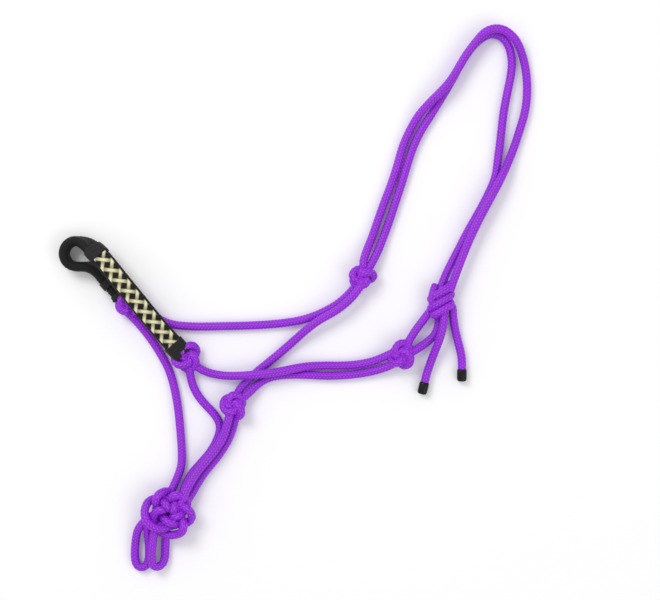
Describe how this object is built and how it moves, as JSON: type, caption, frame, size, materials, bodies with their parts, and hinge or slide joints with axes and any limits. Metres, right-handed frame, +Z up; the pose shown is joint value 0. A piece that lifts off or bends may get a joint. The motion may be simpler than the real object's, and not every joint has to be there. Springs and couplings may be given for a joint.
{
  "type": "rope halter",
  "caption": "Hand-tied rope halter laid flat: knotted violet cord with a braided noseband, fiador knot, lead loops and a tied crown.",
  "frame": {"origin": "the middle of the laid halter's footprint, on the ground", "axes": "+Z up from the ground, +Y towards the crown, -X towards the nose"},
  "size_m": [0.4439, 0.513, 0.0315],
  "materials": {
    "halter_rope": "woven",
    "core_rope": "woven",
    "patterned_braid": "woven",
    "black_braid": "woven",
    "black_twine": "woven",
    "rope_dip": "satin"
  },
  "bodies": {
    "halter": {"fiador_knot": "halter_rope", "fiador_rope_inner": "halter_rope", "fiador_rope_outer": "halter_rope", "left_cheek_knot": "halter_rope", "left_cheek_rope": "halter_rope", "left_chin_rope": "halter_rope", "left_nose_knot": "halter_rope", "left_throat_rope": "halter_rope", "nose_core_left_lower": "core_rope", "nose_core_left_upper": "core_rope", "nose_core_right_lower": "core_rope", "nose_core_right_upper": "core_rope", "nose_core_turn_lower": "core_rope", "nose_core_turn_upper": "core_rope", "nose_sleeve_left": "patterned_braid", "nose_sleeve_right": "black_braid", "nose_sleeve_turn": "black_braid", "nose_whipping_left_high": "black_twine", "nose_whipping_left_low": "black_twine", "nose_whipping_right_high": "black_twine", "nose_whipping_right_low": "black_twine", "right_cheek_knot": "halter_rope", "right_cheek_rope": "halter_rope", "right_chin_rope": "halter_rope", "right_nose_knot": "halter_rope", "right_throat_rope": "halter_rope", "throat_knot": "halter_rope"},
    "crown": {"crown_rope_outer": "halter_rope", "crown_rope_inner": "halter_rope", "tie_loop_upper": "halter_rope", "tie_loop_lower": "halter_rope", "crown_tie_knot": "halter_rope"},
    "tail_left": {"tail_rope_left": "halter_rope", "tail_cap_left": "rope_dip"},
    "tail_right": {"tail_rope_right": "halter_rope", "tail_cap_right": "rope_dip"},
    "lead_loops": {"lead_loop_left": "halter_rope", "lead_loop_right": "halter_rope"}
  },
  "joints": [
    {"name": "crown_fold", "type": "hinge", "parent": "halter", "child": "crown", "pos_m": [0.0624, 0.0201, 0.011], "axis": [0.4524, -0.8918, 0], "range_deg": [0, 110]},
    {"name": "tail_left_lift", "type": "hinge", "parent": "crown", "child": "tail_left", "pos_m": [0.1364, -0.0055, 0.01], "axis": [-1, 0, 0], "range_deg": [0, 60]},
    {"name": "tail_right_lift", "type": "hinge", "parent": "crown", "child": "tail_right", "pos_m": [0.1364, -0.0055, 0.01], "axis": [-1, 0, 0], "range_deg": [0, 60]},
    {"name": "lead_loops_lift", "type": "hinge", "parent": "halter", "child": "lead_loops", "pos_m": [-0.1206, -0.2109, 0.012], "axis": [-1, 0, 0], "range_deg": [0, 75]}
  ]
}
